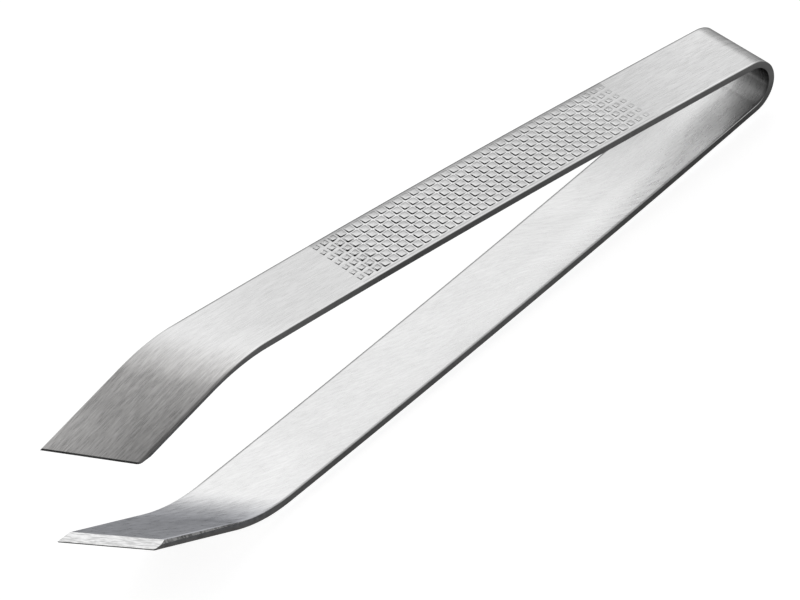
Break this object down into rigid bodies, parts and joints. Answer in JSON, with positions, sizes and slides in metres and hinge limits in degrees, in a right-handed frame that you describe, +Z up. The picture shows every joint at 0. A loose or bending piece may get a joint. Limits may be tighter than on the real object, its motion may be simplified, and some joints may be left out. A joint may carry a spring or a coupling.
{
  "type": "fish bone tweezers",
  "caption": "Spring tweezers for pulling fish bones: a bent strip of brushed steel with pillow-textured finger grips and broad, slanted, inward-bent jaws ground to a fine edge.",
  "frame": {"origin": "where the tweezers rest on the table when they lie on the lower arm: the middle pillow top of the lower grip's resting column", "axes": "+X along the tweezers towards the bow, with the jaws at -X; +Y across the strip towards the longer corner of the slanted tips; +Z up, square to the table"},
  "size_m": [0.1509, 0.0155, 0.0383],
  "materials": {
    "strip_steel": "satin stainless steel, brushed lengthwise",
    "grip_steel": "satin stainless steel, embossed with rows of small rounded pillows",
    "jaw_steel": "satin stainless steel with a ground facet inside the tip"
  },
  "bodies": {
    "bow": {"bow": "strip_steel"},
    "upper_shank": {"upper_shank": "strip_steel"},
    "upper_arm": {"upper_grip": "grip_steel", "upper_neck": "strip_steel", "upper_jaw": "jaw_steel"},
    "lower_shank": {"lower_shank": "strip_steel"},
    "lower_arm": {"lower_grip": "grip_steel", "lower_neck": "strip_steel", "lower_jaw": "jaw_steel"}
  },
  "joints": [
    {"name": "upper_bow_hinge", "type": "hinge", "parent": "bow", "child": "upper_shank", "pos_m": [0.06664, 0, 0.01137], "axis": [0, -1, 0], "range_deg": [0, 1.66], "stiffness_Nm_per_rad": 37},
    {"name": "upper_grip_hinge", "type": "hinge", "parent": "upper_shank", "child": "upper_arm", "pos_m": [0.04635, 0, 0.01639], "axis": [0, -1, 0], "range_deg": [0, 2.73], "stiffness_Nm_per_rad": 14},
    {"name": "lower_bow_hinge", "type": "hinge", "parent": "bow", "child": "lower_shank", "pos_m": [0.06559, 0, 0.00179], "axis": [0, 1, 0], "range_deg": [0, 1.66], "stiffness_Nm_per_rad": 37},
    {"name": "lower_grip_hinge", "type": "hinge", "parent": "lower_shank", "child": "lower_arm", "pos_m": [0.0447, 0, 0.00127], "axis": [0, 1, 0], "range_deg": [0, 2.73], "stiffness_Nm_per_rad": 14}
  ],
  "couplings": [
    {"joint": "upper_grip_hinge", "follows": "upper_bow_hinge", "ratio": 1.64},
    {"joint": "lower_bow_hinge", "follows": "upper_bow_hinge", "ratio": 1},
    {"joint": "lower_grip_hinge", "follows": "upper_bow_hinge", "ratio": 1.64}
  ]
}
